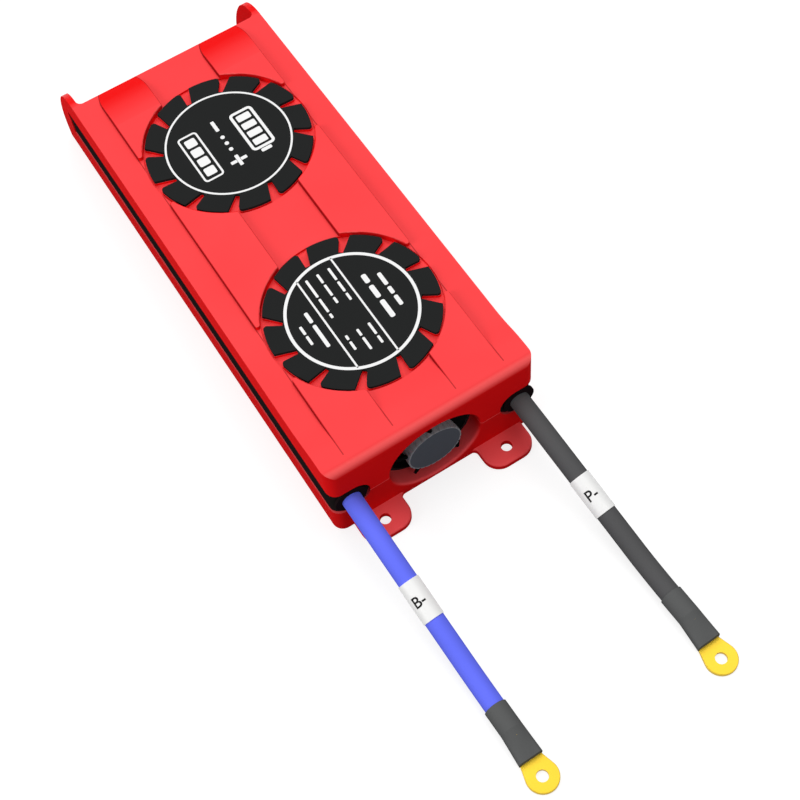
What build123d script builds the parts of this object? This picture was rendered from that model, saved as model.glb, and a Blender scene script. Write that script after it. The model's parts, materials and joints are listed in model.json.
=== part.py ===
"""Battery management board in a fan-cooled housing, with its two power cables.

Frame: +X to the right seen from the fan end, +Y towards the socket end, +Z up.
The origin is in the middle of the four mounting holes, on the flat underside.
All sizes are in millimetres.
"""
from build123d import *
import math
import os

os.makedirs("parts", exist_ok=True)

# Housing, overall
width = 65.0
plate_length = 150.0
strip_height = 31.3
band_rise = 1.6
wall = 2.0
roof_thickness = 1.5
floor_thickness = 1.6
corner_radius = 3.2
front_edge_radius = 3.0
seam_height = 14.3
seam_chamfer = 0.25
seat_clearance = 0.1
cut_margin = 1.0

front_y = -plate_length / 2
plate_end_y = plate_length / 2
half_width = width / 2
inner_half_width = half_width - wall
inner_front_y = front_y + wall
roof_underside = strip_height - roof_thickness
band_height = strip_height + band_rise

# Far end: the side walls run on past the roof as cheeks with a round end
cheek_reach = 18.5
cheek_top_reach = 6.24
cheek_tip_radius = 14.0
end_centre_height = 3.7
notch_corner_radius = 1.8
shelf_thickness = 2.0
shelf_depth = 9.0
end_drop = cheek_reach - cheek_top_reach
end_rise = strip_height - end_centre_height
end_radius = (end_drop**2 + end_rise**2) / (2 * end_drop)
body_end_y = plate_end_y + cheek_reach
end_centre_y = body_end_y - end_radius

# Side slots and the two cable outlets that they run into
outlet_height = 15.25
slot_height = 10.5
slot_past_plate = 9.8
outlet_reach = 11.6
slot_bottom = outlet_height - slot_height / 2
slot_top = outlet_height + slot_height / 2
slot_end_y = plate_end_y + slot_past_plate
outlet_end_x = half_width - outlet_reach

# Raised bands and the ramps at their ends
band_inner_x = 9.8
band_outer_x = 24.9
ramp_front_start = 20.0
ramp_front_end = 4.0
ramp_rear_length = 15.0
band_turn_length = 6.0
band_turn_inset = 1.3
band_tip_radius = 0.8
band_edge_radius = 0.35

# The two round vane discs, each a red boss in a shallow recess with a dark label plate on it
disc_spacing = 70.0
disc_shift = 0.8
disc_radius = 24.9
disc_gap = 0.55
disc_recess = 0.8
label_thickness = 0.95
label_margin = 0.1
vane_count = 12
vane_first_angle = 93.5
vane_lean = 5.1
gap_depth = 5.6
gap_start_width = 1.2
gap_rim_width = 2.8
vane_corner_radius = 1.0
vane_back_radius = 0.5
disc_clearance_radius = disc_radius + disc_gap
gap_start_radius = disc_radius - gap_depth
recess_floor = strip_height - disc_recess

# Mounting holes: two in the front ears, two in the shelf between the cheeks
hole_radius = 1.65
hole_spacing_x = 40.0
hole_offset = 4.3
ear_width = 15.2
ear_reach = 9.2
ear_thickness = 2.0
ear_corner_radius = 5.0
ear_root_radius = 1.4
ear_edge_radius = 0.7

# Fan: it stands in a pocket of the floor, behind a collar that is part of the front wall
fan_floor = 0.6
fan_roof_gap = 0.4
fan_depth = 8.0
fan_corner_radius = 2.0
fan_rim = 0.8
collar_depth = 3.2
collar_margin = 1.5
opening_wider = 0.2
opening_lower = 1.25
opening_drop = 0.7
opening_edge_radius = 0.7
hub_radius = 8.4
hub_wall = 1.0
hub_inset = 0.4
hub_back_gap = 1.4
hub_groove_count = 28
hub_groove_radius = 0.32
blade_count = 5
blade_first_angle = 112.0
blade_gap = 0.3
blade_root_chord = 9.0
blade_tip_chord = 10.0
blade_root_angle = 40.0
blade_tip_angle = 58.0
blade_thickness = 0.8
blade_front_inset = 1.0
shaft_radius = 1.0
shaft_clearance = 0.05
bearing_wall = 1.2
bearing_length = 7.0
bearing_cap = 0.5
shaft_end_gap = 0.2
motor_plate_inset = 0.6
motor_plate_thickness = 1.2
strut_count = 3
strut_width = 1.6
stator_gap = 0.7
stator_length = 6.0
stator_slot_width = 1.2
fan_hole_inset = 2.4
fan_hole_radius = 1.4
fan_size = roof_underside - fan_roof_gap - fan_floor
fan_height = fan_floor + fan_size / 2
fan_front_y = inner_front_y + collar_depth
fan_back_y = fan_front_y + fan_depth
fan_bore_radius = fan_size / 2 - fan_rim
opening_half_width = fan_size / 2 + opening_wider
opening_half_height = fan_size / 2 - opening_lower
opening_height = fan_height - opening_drop
blade_tip_radius = opening_half_height - opening_drop - blade_gap
collar_half_width = fan_size / 2 + collar_margin

# Inner frame: the dark body that shows in the slots
frame_recess = 0.3
frame_web = 1.8
frame_roof_gap = 2.8
frame_return_margin = 0.9
frame_face_recess = 0.8
rear_wall_above_sockets = 3.8
rear_wall_thickness = 2.2
rear_wall_inset = 1.0
channel_edge = 1.0
channel_end_gap = 1.0
frame_half_width = inner_half_width - seat_clearance
frame_inner_half_width = frame_half_width - frame_web
frame_front_y = inner_front_y + seat_clearance
frame_rear_y = plate_end_y - rear_wall_inset
frame_web_top = roof_underside - frame_roof_gap

# Cover screws and their bosses
boss_radius = 3.2
boss_inset = 5.3
boss_front_inset = 23.0
boss_rear_inset = 8.5
cover_screw_radius = 1.25
cover_screw_clearance = 0.15
cover_head_radius = 2.2
cover_head_height = 1.6
cover_head_depth = 3.0
cover_head_clearance = 0.2
cover_screw_length = 19.0
recess_length = 2.6
recess_width = 0.7
recess_depth = 0.8
screw_clearance = 0.1
boss_x = inner_half_width - boss_inset

# Circuit board
board_bottom = 6.0
board_thickness = 1.6
board_side_gap = 0.3
board_front_inset = 6.5
board_rear_inset = 3.4
board_fan_gap = 0.8
board_boss_clearance = 0.4
post_radius = 2.5
post_front_step = 7.2
post_front_inset = 18.5
post_rear_step = 6.2
post_rear_inset = 14.0
board_screw_radius = 1.1
board_screw_length = 4.4
board_head_radius = 2.0
board_head_height = 1.4
board_top = board_bottom + board_thickness
board_half_width = frame_inner_half_width - board_side_gap
board_front_y = front_y + board_front_inset
board_rear_y = plate_end_y - board_rear_inset

# Heat sink over the power transistors, held by screws through the board
pad_thickness = 0.5
pad_margin = 1.0
sink_side_gap = 1.6
sink_front_inset = 27.5
sink_rear_inset = 20.0
sink_base = 2.5
sink_roof_gap = 0.3
fin_count = 13
fin_thickness = 1.2
sink_screw_edge = 3.5
sink_screw_inset = 36.0
sink_screw_radius = 1.4
sink_head_radius = 2.4
sink_head_height = 1.4
sink_half_width = frame_inner_half_width - sink_side_gap
sink_front_y = front_y + sink_front_inset
sink_rear_y = plate_end_y - sink_rear_inset
sink_screw_x = sink_half_width - sink_screw_edge

# Parts on the board
transistor_size = (9.2, 10.0, 2.2)
transistor_pitch = 12.0
transistor_screw_gap = 10.5
shunt_size = (3.2, 6.4, 0.8)
shunt_count = 3
shunt_pitch = 5.0
shunt_inset = 25.0
capacitor_radius = 2.5
capacitor_height = 7.5
capacitor_pitch = 6.5
capacitor_x = -12.0
capacitor_inset = 15.0
capacitor_count = 3
chip_size = (7.0, 7.0, 1.0)
chip_x = 8.0
chip_inset = 14.5
transistor_row_x = sink_screw_x - transistor_screw_gap
transistor_rows = int((sink_rear_y - sink_front_y) // transistor_pitch)

# Sockets at the far end
socket_pitch = 2.0
socket_end_wall = 1.95
socket_height = 5.0
socket_depth = 8.0
socket_wall = 0.6
socket_cavity_depth = 5.5
socket_clearance = 0.15
pin_width = 0.5
pin_reach = 4.0
sense_pins = 5
sense_x = -11.0
data_pins = 4
data_x = 3.0
probe_pins = 2
probe_x = 13.0
socket_key_inset = 1.8
socket_key_width = 1.0
pin_tail = 0.8
pin_height = board_top + socket_height / 2
rear_wall_top = board_top + socket_height + rear_wall_above_sockets
sockets = {
    "sense_socket": (sense_x, sense_pins),
    "data_socket": (data_x, data_pins),
    "probe_socket": (probe_x, probe_pins),
}

# Power cables
arc_share = 0.45
cable_radius = 2.9
battery_exit_inset = 5.7
pack_exit_inset = 5.4
cable_start_depth = 6.7
sleeve_wall = 0.25
sleeve_length = 11.8
shrink_wall = 0.35
shrink_length = 15.6
shrink_on_cable = 6.4
shrink_round_past = 1.0
shrink_flat_height = 3.4
shrink_flat_width = 7.2
shrink_flat_radius = 1.2
grommet_radius = 4.2
grommet_flange_radius = 4.9
grommet_flange_length = 0.8
grommet_length = 4.4
terminal_width = 6.4
terminal_length = 12.0
terminal_edge_radius = 0.8
lug_barrel_radius = 2.5
lug_barrel_length = 3.0
lug_palm_start = 8.6
lug_thickness = 1.2
lug_edge_radius = 0.25
lug_ring_radius = 4.5
lug_hole_radius = 1.65
lug_hole_distance = 14.2
lug_neck_half_width = 3.1
lug_floor_gap = 0.05
terminal_top = outlet_height + terminal_width / 2

# Fan lead, from the fan's motor plate down to its plug on the board
lead_radius = 0.8
lead_run = 3.5
lead_drop = 6.0
fan_plug_size = (5.0, 4.0, 5.5)
fan_plug_x = 3.5
plug_y = fan_back_y + lead_drop
plug_top = board_top + fan_plug_size[2]


def finish(piece, name):
    """Label a finished piece and write it."""
    piece.part.label = name
    export_step(piece.part, f"parts/{name}.step")


def vane_disc(margin):
    """Round disc whose rim is cut into vanes by leaning gaps."""
    radius = disc_radius - margin
    lean = math.radians(vane_lean)
    inner = Vector(gap_start_radius * math.cos(lean), gap_start_radius * math.sin(lean))
    outer = Vector(radius + cut_margin, 0)
    along = (outer - inner).normalized()
    across = Vector(-along.Y, along.X)
    growth = (gap_rim_width - gap_start_width) / (radius - gap_start_radius)
    inner_half = gap_start_width / 2 + margin
    outer_half = inner_half + growth * (outer - inner).length / 2
    gap = [
        inner + across * inner_half,
        outer + across * outer_half,
        outer - across * outer_half,
        inner - across * inner_half,
    ]
    with BuildSketch() as disc:
        Circle(radius)
        with PolarLocations(0, vane_count, start_angle=vane_first_angle):
            Polygon(*[(corner.X, corner.Y) for corner in gap], align=None, mode=Mode.SUBTRACT)
        step = 360 / vane_count
        front_corners = []
        back_corners = []
        for corner in disc.vertices():
            if abs(math.hypot(corner.X, corner.Y) - radius) > label_margin / 2:
                continue
            turn = math.degrees(math.atan2(corner.Y, corner.X)) - vane_first_angle
            if (turn + step / 2) % step > step / 2:
                front_corners.append(corner)
            else:
                back_corners.append(corner)
        fillet(front_corners, radius=vane_corner_radius)
        fillet(back_corners, radius=vane_back_radius)
    return disc.sketch


def socket_half_width(pin_count):
    """Half the outer width of a socket with this many pins."""
    return (pin_count - 1) * socket_pitch / 2 + socket_end_wall


def pin_places(socket_x, pin_count):
    """Where the pins of a socket stand, across the board."""
    first = socket_x - (pin_count - 1) * socket_pitch / 2
    return [first + index * socket_pitch for index in range(pin_count)]


def box_between(x0, x1, y0, y1, z0, z1, mode=Mode.ADD):
    """Box given by its limits on the three axes."""
    with Locations(((x0 + x1) / 2, (y0 + y1) / 2, (z0 + z1) / 2)):
        Box(x1 - x0, y1 - y0, z1 - z0, mode=mode)


def post(x, y, z0, z1, radius, mode=Mode.ADD):
    """Upright cylinder between two heights."""
    with Locations((x, y, (z0 + z1) / 2)):
        Cylinder(radius, z1 - z0, mode=mode)


def keep_plan_outline(z0, z1):
    """Trim what is there to the plan outline, which rounds the front corners."""
    with BuildSketch(Plane.XY.offset(z0)) as plan:
        with Locations((0, (front_y + body_end_y) / 2 + corner_radius)):
            RectangleRounded(width, body_end_y - front_y + 2 * corner_radius, corner_radius)
    extrude(plan.sketch, amount=z1 - z0, mode=Mode.INTERSECT)


def housing_block(z0, z1, tip_radius=0):
    """Body outline between two heights: round far end, rounded front corners."""
    with BuildSketch(Plane.YZ.offset(-half_width)) as side_view:
        with Locations(((front_y + end_centre_y) / 2, (z0 + z1) / 2)):
            Rectangle(end_centre_y - front_y, z1 - z0)
        with Locations((end_centre_y, end_centre_height)):
            Circle(end_radius)
        with Locations(((front_y + body_end_y) / 2, (z0 + z1) / 2)):
            Rectangle(body_end_y - front_y, z1 - z0, mode=Mode.INTERSECT)
        if tip_radius:
            top_corners = side_view.vertices().group_by(Axis.Y)[-1]
            fillet(top_corners.sort_by(Axis.X)[-1], radius=tip_radius)
    extrude(side_view.sketch, amount=width)
    keep_plan_outline(z0, z1)


def cut_rear_notch(z0, z1):
    """Space between the cheeks, with rounded corners where it meets the roof."""
    depth = body_end_y - plate_end_y + 2 * notch_corner_radius
    with BuildSketch(Plane.XY.offset(z0)) as notch:
        with Locations((0, plate_end_y + depth / 2)):
            RectangleRounded(2 * inner_half_width, depth, notch_corner_radius)
    extrude(notch.sketch, amount=z1 - z0, mode=Mode.SUBTRACT)


def cut_side_slots():
    """Slots along both sides, running into round-ended outlets in the front wall."""
    for side in (-1, 1):
        x0 = side * (inner_half_width - cut_margin)
        x1 = side * (half_width + cut_margin)
        box_between(
            min(x0, x1), max(x0, x1), front_y - cut_margin, slot_end_y,
            slot_bottom, slot_top, Mode.SUBTRACT,
        )
    with BuildSketch(Plane.XZ.offset(-inner_front_y)) as outlets:
        for side in (-1, 1):
            round_x = side * (outlet_end_x + slot_height / 2)
            with Locations((round_x, outlet_height)):
                Circle(slot_height / 2)
            with Locations(((round_x + side * (half_width + cut_margin)) / 2, outlet_height)):
                Rectangle(half_width + cut_margin - abs(round_x), slot_height)
    extrude(outlets.sketch, amount=wall + cut_margin, mode=Mode.SUBTRACT)


def fan_collar(z0, z1):
    """Thicker part of the front wall round the fan opening, between two heights."""
    box_between(-collar_half_width, collar_half_width, inner_front_y, fan_front_y, z0, z1)


def cut_fan_opening():
    """Oval opening through the front wall and its collar."""
    with BuildSketch(Plane.XZ.offset(-fan_front_y)) as opening:
        with Locations((0, opening_height)):
            Ellipse(opening_half_width, opening_half_height)
    extrude(opening.sketch, amount=wall + collar_depth, mode=Mode.SUBTRACT)


def front_opening_edges(piece):
    """Outer edge of the fan opening on a finished shell."""
    curved = piece.edges().filter_by(GeomType.ELLIPSE)
    return [edge for edge in curved if abs(edge.center().Y - front_y) < seat_clearance]


boss_places = [
    (side * boss_x, y)
    for y in (front_y + boss_front_inset, plate_end_y - boss_rear_inset)
    for side in (-1, 1)
]
post_places = [
    (side * (boss_x - step), y)
    for step, y in (
        (post_front_step, front_y + post_front_inset),
        (post_rear_step, plate_end_y - post_rear_inset),
    )
    for side in (-1, 1)
]
disc_places = {
    "rear_label": disc_shift + disc_spacing / 2,
    "front_label": disc_shift - disc_spacing / 2,
}

# Route of each power cable, from its terminal to its lug. Each point says how far it lies to
# the right of the cable's exit, how far out of the front wall, and how high.
battery_exit_x = battery_exit_inset - half_width
pack_exit_x = half_width - pack_exit_inset
battery_route = [
    (0.0, -cable_start_depth, outlet_height),
    (0.0, 7.0, outlet_height),
    (0.35, 20.6, 13.1),
    (1.55, 44.5, 6.2),
    (2.05, 58.0, 3.3),
    (2.3, 71.8, 3.3),
]
pack_route = [
    (0.0, -cable_start_depth, outlet_height),
    (0.0, 7.0, outlet_height),
    (0.6, 20.6, 13.1),
    (2.6, 44.5, 6.2),
    (3.4, 58.0, 3.3),
    (4.0, 71.8, 3.3),
]
cable_routes = {
    name: [(exit_x + right, front_y - out, height) for right, out, height in route]
    for name, exit_x, route in (
        ("battery", battery_exit_x, battery_route),
        ("pack", pack_exit_x, pack_route),
    )
}


# Top cover
with BuildPart() as roof_bands:
    with BuildSketch(Plane.XY.offset(strip_height)):
        for side in (-1, 1):
            outer_x = side * band_outer_x
            inner_x = side * band_inner_x
            turn_y = plate_end_y - band_turn_length
            with BuildLine():
                outer_turn = TangentArc(
                    (outer_x, turn_y), (outer_x - side * band_turn_inset, plate_end_y), tangent=(0, 1)
                )
                inner_turn = TangentArc(
                    (inner_x, turn_y), (inner_x + side * band_turn_inset, plate_end_y), tangent=(0, 1)
                )
                Line(outer_turn @ 1, inner_turn @ 1)
                Polyline(inner_turn @ 0, (inner_x, front_y), (outer_x, front_y), outer_turn @ 0)
            make_face()
        with Locations(*[(0, middle_y) for middle_y in disc_places.values()]):
            Circle(disc_clearance_radius, mode=Mode.SUBTRACT)
    extrude(amount=band_rise)
    tips = [
        edge
        for edge in roof_bands.edges().filter_by(Axis.Z)
        if min(abs(edge.center().Y - middle_y) for middle_y in disc_places.values()) < disc_radius
    ]
    fillet(tips, radius=band_tip_radius)
    fillet(roof_bands.edges().group_by(Axis.Z)[-1], radius=band_edge_radius)
    with BuildSketch(Plane.YZ.offset(-half_width)):
        with BuildLine():
            ramp = TangentArc(
                (plate_end_y - ramp_rear_length, band_height), (plate_end_y, strip_height), tangent=(1, 0)
            )
            Polyline(
                ramp @ 1,
                (plate_end_y + cut_margin, strip_height),
                (plate_end_y + cut_margin, band_height + cut_margin),
                (plate_end_y - ramp_rear_length, band_height + cut_margin),
                ramp @ 0,
            )
        make_face()
    extrude(amount=width, mode=Mode.SUBTRACT)

with BuildPart() as top_cover:
    housing_block(seam_height, strip_height, cheek_tip_radius)
    with BuildSketch(Plane.YZ.offset(-half_width)):
        ramp_start = (front_y + ramp_front_start, strip_height)
        ramp_end = (front_y + ramp_front_end, band_height)
        ramp_middle = front_y + (ramp_front_start + ramp_front_end) / 2
        with BuildLine():
            Bezier(ramp_start, (ramp_middle, strip_height), (ramp_middle, band_height), ramp_end)
            Polyline(ramp_end, (front_y, band_height), (front_y, strip_height), ramp_start)
        make_face()
    extrude(amount=width)
    add(roof_bands.part)
    keep_plan_outline(seam_height, band_height)
    with BuildSketch(Plane.YZ.offset(-half_width)):
        with Locations((front_y, band_height)):
            Rectangle(2 * front_edge_radius, 2 * front_edge_radius)
        with Locations((front_y + front_edge_radius, band_height - front_edge_radius)):
            Circle(front_edge_radius, mode=Mode.SUBTRACT)
    extrude(amount=width, mode=Mode.SUBTRACT)
    cut_rear_notch(seam_height, strip_height)
    for middle_y in disc_places.values():
        post(0, middle_y, recess_floor, band_height, disc_clearance_radius, Mode.SUBTRACT)
        with BuildSketch(Plane.XY.offset(recess_floor)) as boss:
            with Locations((0, middle_y)):
                add(vane_disc(0))
        extrude(boss.sketch, amount=disc_recess)
    box_between(
        -inner_half_width, inner_half_width, inner_front_y, body_end_y,
        seam_height, roof_underside, Mode.SUBTRACT,
    )
    cut_side_slots()
    for x, y in boss_places:
        post(x, y, seam_height, roof_underside, boss_radius)
        post(x, y, seam_height, cover_head_depth + cover_screw_length, cover_screw_radius, Mode.SUBTRACT)
    fan_collar(seam_height, roof_underside)
    cut_fan_opening()
    fillet(front_opening_edges(top_cover), radius=opening_edge_radius)
finish(top_cover, "top_cover")

# Base shell with the mounting ears
with BuildPart() as ears:
    with BuildSketch(Plane.XY) as ear_plan:
        with Locations((0, front_y + wall / 2)):
            Rectangle(2 * (half_width - corner_radius), wall)
        for side in (-1, 1):
            with Locations((side * hole_spacing_x / 2, front_y - ear_reach / 2 + ear_corner_radius / 2)):
                RectangleRounded(ear_width, ear_reach + ear_corner_radius, ear_corner_radius)
        roots = [
            corner
            for corner in ear_plan.vertices()
            if abs(corner.Y - front_y) < seat_clearance and abs(corner.X) < half_width - 2 * corner_radius
        ]
        fillet(roots, radius=ear_root_radius)
    extrude(amount=ear_thickness)
    rim = [
        edge
        for edge in ears.edges().group_by(Axis.Z)[-1]
        if edge.center().Y < front_y - ear_root_radius / 2
    ]
    fillet(rim, radius=ear_edge_radius)

with BuildPart() as base_shell:
    housing_block(0, seam_height)
    add(ears.part)
    box_between(
        -inner_half_width, inner_half_width, inner_front_y, plate_end_y - rear_wall_inset,
        floor_thickness, seam_height, Mode.SUBTRACT,
    )
    box_between(
        -inner_half_width, inner_half_width, plate_end_y - rear_wall_inset - cut_margin, body_end_y,
        shelf_thickness, seam_height, Mode.SUBTRACT,
    )
    box_between(
        -inner_half_width, inner_half_width, plate_end_y + shelf_depth, body_end_y,
        0, seam_height, Mode.SUBTRACT,
    )
    cut_side_slots()
    fan_collar(0, seam_height)
    box_between(
        -fan_size / 2, fan_size / 2, fan_front_y, fan_back_y,
        fan_floor, seam_height, Mode.SUBTRACT,
    )
    for x, y in boss_places:
        post(x, y, 0, seam_height, boss_radius)
        post(x, y, 0, seam_height, cover_screw_radius + cover_screw_clearance, Mode.SUBTRACT)
        post(x, y, 0, cover_head_depth, cover_head_radius + cover_head_clearance, Mode.SUBTRACT)
    for x, y in post_places:
        post(x, y, floor_thickness / 2, board_bottom, post_radius)
        post(x, y, board_top - board_screw_length, board_bottom, board_screw_radius, Mode.SUBTRACT)
    for hole_y in (front_y - hole_offset, plate_end_y + hole_offset):
        for side in (-1, 1):
            post(side * hole_spacing_x / 2, hole_y, 0, shelf_thickness, hole_radius, Mode.SUBTRACT)
    cut_fan_opening()
    fillet(front_opening_edges(base_shell), radius=opening_edge_radius)
    seam_edges = [
        edge
        for edge in base_shell.edges().filter_by(Axis.X)
        if abs(edge.center().Y - front_y) < seat_clearance
        and abs(edge.center().Z - seam_height) < seat_clearance
    ]
    chamfer(seam_edges, length=seam_chamfer)
finish(base_shell, "base_shell")

# Inner frame
with BuildPart() as inner_frame:
    box_between(
        -frame_half_width, frame_half_width, frame_front_y, frame_rear_y,
        floor_thickness, frame_web_top,
    )
    box_between(
        -frame_inner_half_width, frame_inner_half_width,
        frame_front_y + frame_web, frame_rear_y - rear_wall_thickness,
        floor_thickness, frame_web_top, Mode.SUBTRACT,
    )
    box_between(
        -outlet_end_x - frame_return_margin, outlet_end_x + frame_return_margin,
        frame_front_y, frame_front_y + frame_web,
        floor_thickness, frame_web_top, Mode.SUBTRACT,
    )
    box_between(
        -frame_inner_half_width, frame_inner_half_width,
        frame_rear_y - rear_wall_thickness, frame_rear_y,
        rear_wall_top, frame_web_top, Mode.SUBTRACT,
    )
    for side in (-1, 1):
        x0 = side * frame_inner_half_width
        x1 = side * (half_width - frame_recess)
        box_between(
            min(x0, x1), max(x0, x1), frame_front_y, slot_end_y - seat_clearance,
            slot_bottom, slot_top,
        )
    with BuildSketch(Plane.XZ.offset(-frame_front_y)):
        for side in (-1, 1):
            round_x = side * (outlet_end_x + slot_height / 2)
            with Locations((round_x, outlet_height)):
                Circle(slot_height / 2 - seat_clearance)
            with Locations(((round_x + side * (half_width - frame_recess)) / 2, outlet_height)):
                Rectangle(half_width - frame_recess - abs(round_x), slot_height)
    extrude(amount=wall + seat_clearance - frame_face_recess)
    corner_edges = inner_frame.edges().filter_by(Axis.Z).group_by(Axis.Y)[0]
    outer_corners = [edge for edge in corner_edges if abs(edge.center().X) > inner_half_width]
    fillet(outer_corners, radius=corner_radius - frame_recess)
    box_between(
        -frame_inner_half_width, frame_inner_half_width,
        frame_rear_y, body_end_y, slot_bottom, slot_top, Mode.SUBTRACT,
    )
    for socket_x, pin_count in sockets.values():
        half = socket_half_width(pin_count) + socket_clearance
        box_between(
            socket_x - half, socket_x + half, frame_rear_y - rear_wall_thickness, frame_rear_y,
            board_top - socket_clearance, board_top + socket_height + socket_clearance, Mode.SUBTRACT,
        )
    for route_points in cable_routes.values():
        start = Vector(route_points[0])
        side = math.copysign(1, start.X)
        x0 = side * (frame_inner_half_width - cut_margin)
        x1 = side * frame_half_width
        box_between(
            min(x0, x1), max(x0, x1),
            frame_front_y + frame_web, start.Y + terminal_length + channel_end_gap,
            board_top, slot_top - channel_edge, Mode.SUBTRACT,
        )
        with BuildSketch(Plane(origin=(start.X, front_y, start.Z), z_dir=(0, -1, 0))):
            Circle(grommet_radius)
        extrude(amount=-2 * grommet_length, mode=Mode.SUBTRACT)
finish(inner_frame, "inner_frame")

# Label plates on the two discs
for label_name, middle_y in disc_places.items():
    with BuildPart() as label:
        with BuildSketch(Plane.XY.offset(strip_height)):
            with Locations((0, middle_y)):
                add(vane_disc(label_margin))
        extrude(amount=label_thickness)
    finish(label, label_name)

# Fan: frame with its motor plate and bearing, winding, and the turning hub with blades
motor_front_y = fan_back_y - motor_plate_thickness
hub_front_y = front_y + hub_inset
hub_back_y = motor_front_y - hub_back_gap
hub_length = hub_back_y - hub_front_y
bearing_radius = shaft_radius + bearing_wall
stator_radius = hub_radius - hub_wall - stator_gap


def fan_plane(y):
    """Plane across the fan's axis that looks out of the front wall."""
    return Plane(origin=(0, y, fan_height), x_dir=(1, 0, 0), z_dir=(0, -1, 0))


with BuildPart() as fan_frame:
    with BuildSketch(fan_plane(fan_back_y)):
        RectangleRounded(fan_size, fan_size, fan_corner_radius)
        Circle(fan_bore_radius, mode=Mode.SUBTRACT)
        with GridLocations(fan_size - 2 * fan_hole_inset, fan_size - 2 * fan_hole_inset, 2, 2):
            Circle(fan_hole_radius, mode=Mode.SUBTRACT)
    extrude(amount=fan_depth)
    with BuildSketch(fan_plane(fan_back_y)):
        Circle(hub_radius - motor_plate_inset)
        with PolarLocations(0, strut_count, start_angle=90):
            with Locations(((fan_bore_radius + fan_rim / 2) / 2, 0)):
                Rectangle(fan_bore_radius + fan_rim / 2, strut_width)
    extrude(amount=motor_plate_thickness)
    with BuildSketch(fan_plane(fan_back_y)):
        Circle(bearing_radius)
    extrude(amount=bearing_length)
    with BuildSketch(fan_plane(fan_back_y - bearing_cap)):
        Circle(shaft_radius + shaft_clearance)
    extrude(amount=bearing_length, mode=Mode.SUBTRACT)
finish(fan_frame, "fan_frame")

with BuildPart() as fan_stator:
    with BuildSketch(fan_plane(motor_front_y)):
        Circle(stator_radius)
        Circle(bearing_radius, mode=Mode.SUBTRACT)
        with PolarLocations(stator_radius, 4):
            Rectangle(stator_radius, stator_slot_width, mode=Mode.SUBTRACT)
    extrude(amount=stator_length)
finish(fan_stator, "fan_stator")

with BuildPart() as fan_blades:
    blade_depth = blade_root_chord * math.cos(math.radians(blade_root_angle))
    blade_middle_y = front_y + blade_front_inset + blade_depth / 2
    for index in range(blade_count):
        turn = math.radians(blade_first_angle + index * 360 / blade_count)
        outward = Vector(math.cos(turn), 0, math.sin(turn))
        for reach, chord, pitch in (
            (hub_radius - hub_wall, blade_root_chord, blade_root_angle),
            (blade_tip_radius + cut_margin, blade_tip_chord, blade_tip_angle),
        ):
            centre = outward * reach + Vector(0, blade_middle_y, fan_height)
            with BuildSketch(Plane(origin=centre, x_dir=(0, 1, 0), z_dir=outward)):
                Rectangle(chord, blade_thickness, rotation=pitch)
        loft()
    with BuildSketch(fan_plane(fan_back_y)):
        Circle(blade_tip_radius)
    extrude(amount=fan_back_y - front_y, mode=Mode.INTERSECT)

with BuildPart() as fan_rotor:
    with BuildSketch(fan_plane(hub_back_y)):
        Circle(hub_radius)
        with PolarLocations(hub_radius, hub_groove_count):
            Circle(hub_groove_radius, mode=Mode.SUBTRACT)
    extrude(amount=hub_length)
    add(fan_blades.part)
    with BuildSketch(fan_plane(hub_back_y)):
        Circle(hub_radius - hub_wall)
    extrude(amount=hub_length - hub_wall, mode=Mode.SUBTRACT)
    with BuildSketch(fan_plane(hub_front_y + hub_wall / 2)):
        Circle(shaft_radius)
    extrude(amount=-(fan_back_y - bearing_cap - shaft_end_gap - hub_front_y - hub_wall / 2))
finish(fan_rotor, "fan_rotor")

# Circuit board
sink_screw_places = [
    (side * sink_screw_x, y)
    for side in (-1, 1)
    for y in (front_y + sink_screw_inset, plate_end_y - sink_screw_inset)
]
with BuildPart() as main_board:
    with BuildSketch(Plane.XY.offset(board_bottom)):
        with Locations((0, (board_front_y + board_rear_y) / 2)):
            Rectangle(2 * board_half_width, board_rear_y - board_front_y)
        with Locations((0, board_front_y)):
            notch_half_width = fan_size / 2 + board_fan_gap
            notch_length = fan_back_y + board_fan_gap - board_front_y
            Rectangle(2 * notch_half_width, 2 * notch_length, mode=Mode.SUBTRACT)
        with Locations(*boss_places):
            Circle(boss_radius + board_boss_clearance, mode=Mode.SUBTRACT)
        with Locations(*post_places):
            Circle(board_screw_radius + screw_clearance, mode=Mode.SUBTRACT)
        with Locations(*sink_screw_places):
            Circle(sink_screw_radius + screw_clearance, mode=Mode.SUBTRACT)
    extrude(amount=board_thickness)
finish(main_board, "main_board")

# Power transistors, shunts, capacitors and the control chip
transistor_span = (transistor_rows - 1) * transistor_pitch
transistor_first_y = (sink_front_y + sink_rear_y - transistor_span) / 2
transistor_top = board_top + transistor_size[2]
with BuildPart() as power_transistors:
    for side in (-1, 1):
        for index in range(transistor_rows):
            place = (side * transistor_row_x, transistor_first_y + index * transistor_pitch)
            with Locations((*place, board_top + transistor_size[2] / 2)):
                Box(*transistor_size)
finish(power_transistors, "power_transistors")

with BuildPart() as shunt_resistors:
    with Locations((0, front_y + shunt_inset, board_top + shunt_size[2] / 2)):
        with GridLocations(shunt_pitch, 1, shunt_count, 1):
            Box(*shunt_size)
finish(shunt_resistors, "shunt_resistors")

with BuildPart() as capacitors:
    for index in range(capacitor_count):
        capacitor_place = (capacitor_x + index * capacitor_pitch, plate_end_y - capacitor_inset)
        post(*capacitor_place, board_top, board_top + capacitor_height, capacitor_radius)
finish(capacitors, "capacitors")

with BuildPart() as control_chip:
    with Locations((chip_x, plate_end_y - chip_inset, board_top + chip_size[2] / 2)):
        Box(*chip_size)
finish(control_chip, "control_chip")

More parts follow.
